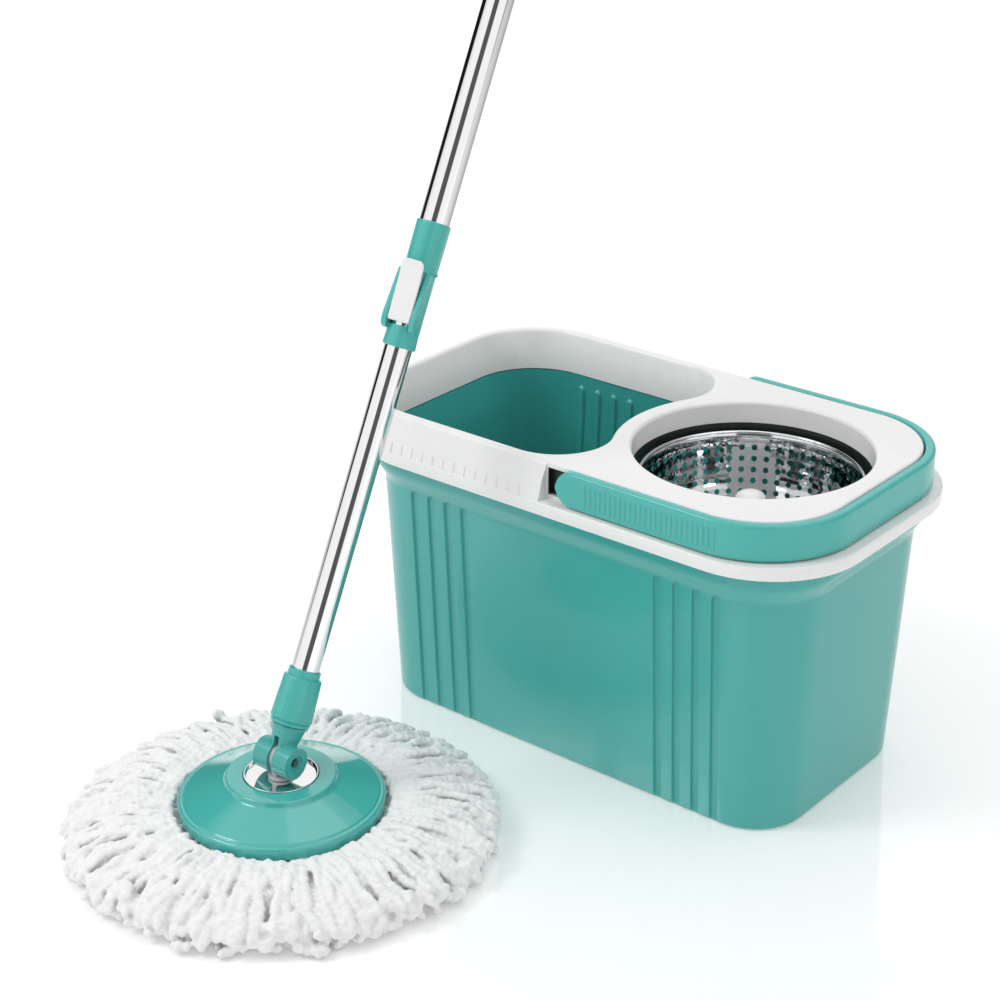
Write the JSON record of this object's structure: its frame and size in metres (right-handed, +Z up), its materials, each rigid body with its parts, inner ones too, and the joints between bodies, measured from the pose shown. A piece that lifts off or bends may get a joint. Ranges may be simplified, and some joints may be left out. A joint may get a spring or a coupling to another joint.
{
  "type": "spin mop and bucket",
  "caption": "Spin mop leaning beside an oval plastic bucket with a water well, a steel wringing basket and a folding carry handle.",
  "frame": {"origin": "centre of the bucket's underside, on the floor", "axes": "+Z up; +X along the bucket, from its water well towards its spin basket; the mop stands in front of the bucket, at -Y"},
  "size_m": [0.498, 0.64, 0.962],
  "materials": {
    "bucket_shell": "gloss",
    "rim_cover": "gloss",
    "carry_handle": "gloss",
    "spindle_stand": "satin",
    "spindle_rod": "satin",
    "basket_bowl": "polished, perforated",
    "basket_hub": "satin",
    "hub_cap": "gloss",
    "clamp_ring": "satin",
    "spin_bush": "satin",
    "fibre_pad": "chenille strands",
    "pad_ring": "satin",
    "disc_base": "satin",
    "disc_cover": "gloss",
    "disc_screw_1": "satin",
    "disc_screw_2": "satin",
    "disc_screw_3": "satin",
    "chrome_plate": "polished",
    "swivel_bush": "satin",
    "pivot_link": "satin",
    "swivel_nut": "satin",
    "knuckle": "gloss",
    "knuckle_pin": "satin",
    "lower_tube": "polished",
    "nut_housing": "satin",
    "nut_retainer": "satin",
    "screw_collar": "gloss",
    "ratchet_nut": "satin",
    "upper_tube": "polished",
    "lock_sleeve": "gloss",
    "lever_pin": "satin",
    "drive_rod": "satin",
    "rod_anchor": "satin",
    "grip": "matte",
    "end_cap": "gloss",
    "lock_lever": "gloss"
  },
  "bodies": {
    "bucket": {"bucket_shell": "bucket_shell", "rim_cover": "rim_cover", "spindle_stand": "spindle_stand", "spindle_rod": "spindle_rod"},
    "handle": {"carry_handle": "carry_handle"},
    "basket": {"basket_bowl": "basket_bowl", "basket_hub": "basket_hub", "hub_cap": "hub_cap", "clamp_ring": "clamp_ring", "spin_bush": "spin_bush"},
    "mop_head": {"fibre_pad": "fibre_pad", "pad_ring": "pad_ring", "disc_base": "disc_base", "disc_cover": "disc_cover", "disc_screw_1": "disc_screw_1", "disc_screw_2": "disc_screw_2", "disc_screw_3": "disc_screw_3", "chrome_plate": "chrome_plate", "swivel_bush": "swivel_bush"},
    "swivel": {"pivot_link": "pivot_link", "swivel_nut": "swivel_nut"},
    "lower_pole": {"knuckle": "knuckle", "knuckle_pin": "knuckle_pin", "lower_tube": "lower_tube", "nut_housing": "nut_housing", "nut_retainer": "nut_retainer"},
    "collar": {"screw_collar": "screw_collar"},
    "nut": {"ratchet_nut": "ratchet_nut"},
    "upper_pole": {"upper_tube": "upper_tube", "lock_sleeve": "lock_sleeve", "lever_pin": "lever_pin", "drive_rod": "drive_rod", "rod_anchor": "rod_anchor", "grip": "grip", "end_cap": "end_cap"},
    "lever": {"lock_lever": "lock_lever"}
  },
  "joints": [
    {"name": "handle_hinge", "type": "hinge", "parent": "bucket", "child": "handle", "pos_m": [0.025, 0, 0.26025], "axis": [0, -1, 0], "range_deg": [0, 115]},
    {"name": "basket_spin", "type": "hinge", "parent": "bucket", "child": "basket", "pos_m": [0.1045, 0, 0.2], "axis": [0, 0, 1], "continuous": true},
    {"name": "mop_lift", "type": "slide", "parent": "bucket", "child": "mop_head", "axis": [0, 0, 1], "range_m": [0, 0.3]},
    {"name": "head_swivel", "type": "hinge", "parent": "mop_head", "child": "swivel", "pos_m": [-0.096, -0.336, 0.05], "axis": [0, 0, 1], "continuous": true},
    {"name": "pole_tilt", "type": "hinge", "parent": "swivel", "child": "lower_pole", "pos_m": [-0.096, -0.336, 0.074], "axis": [1, 0, 0], "range_deg": [-14, 101]},
    {"name": "collar_turn", "type": "hinge", "parent": "lower_pole", "child": "collar", "pos_m": [-0.096, -0.31466, 0.11699], "axis": [0, 0.4446, 0.8957], "range_deg": [0, 360]},
    {"name": "pole_slide", "type": "slide", "parent": "lower_pole", "child": "upper_pole", "axis": [0, 0.4446, 0.8957], "range_m": [-0.235, 0.19]},
    {"name": "nut_spin", "type": "hinge", "parent": "lower_pole", "child": "nut", "pos_m": [-0.096, -0.05054, 0.64905], "axis": [0, 0.4446, 0.8957], "range_deg": [-920, 1135]},
    {"name": "lever_hinge", "type": "hinge", "parent": "upper_pole", "child": "lever", "pos_m": [-0.09225, -0.1932, 0.39107], "axis": [0.9613, 0.2469, -0.1226], "range_deg": [0, 100]}
  ],
  "couplings": [
    {"joint": "nut_spin", "follows": "pole_slide", "rad_per_m": -83.776}
  ]
}
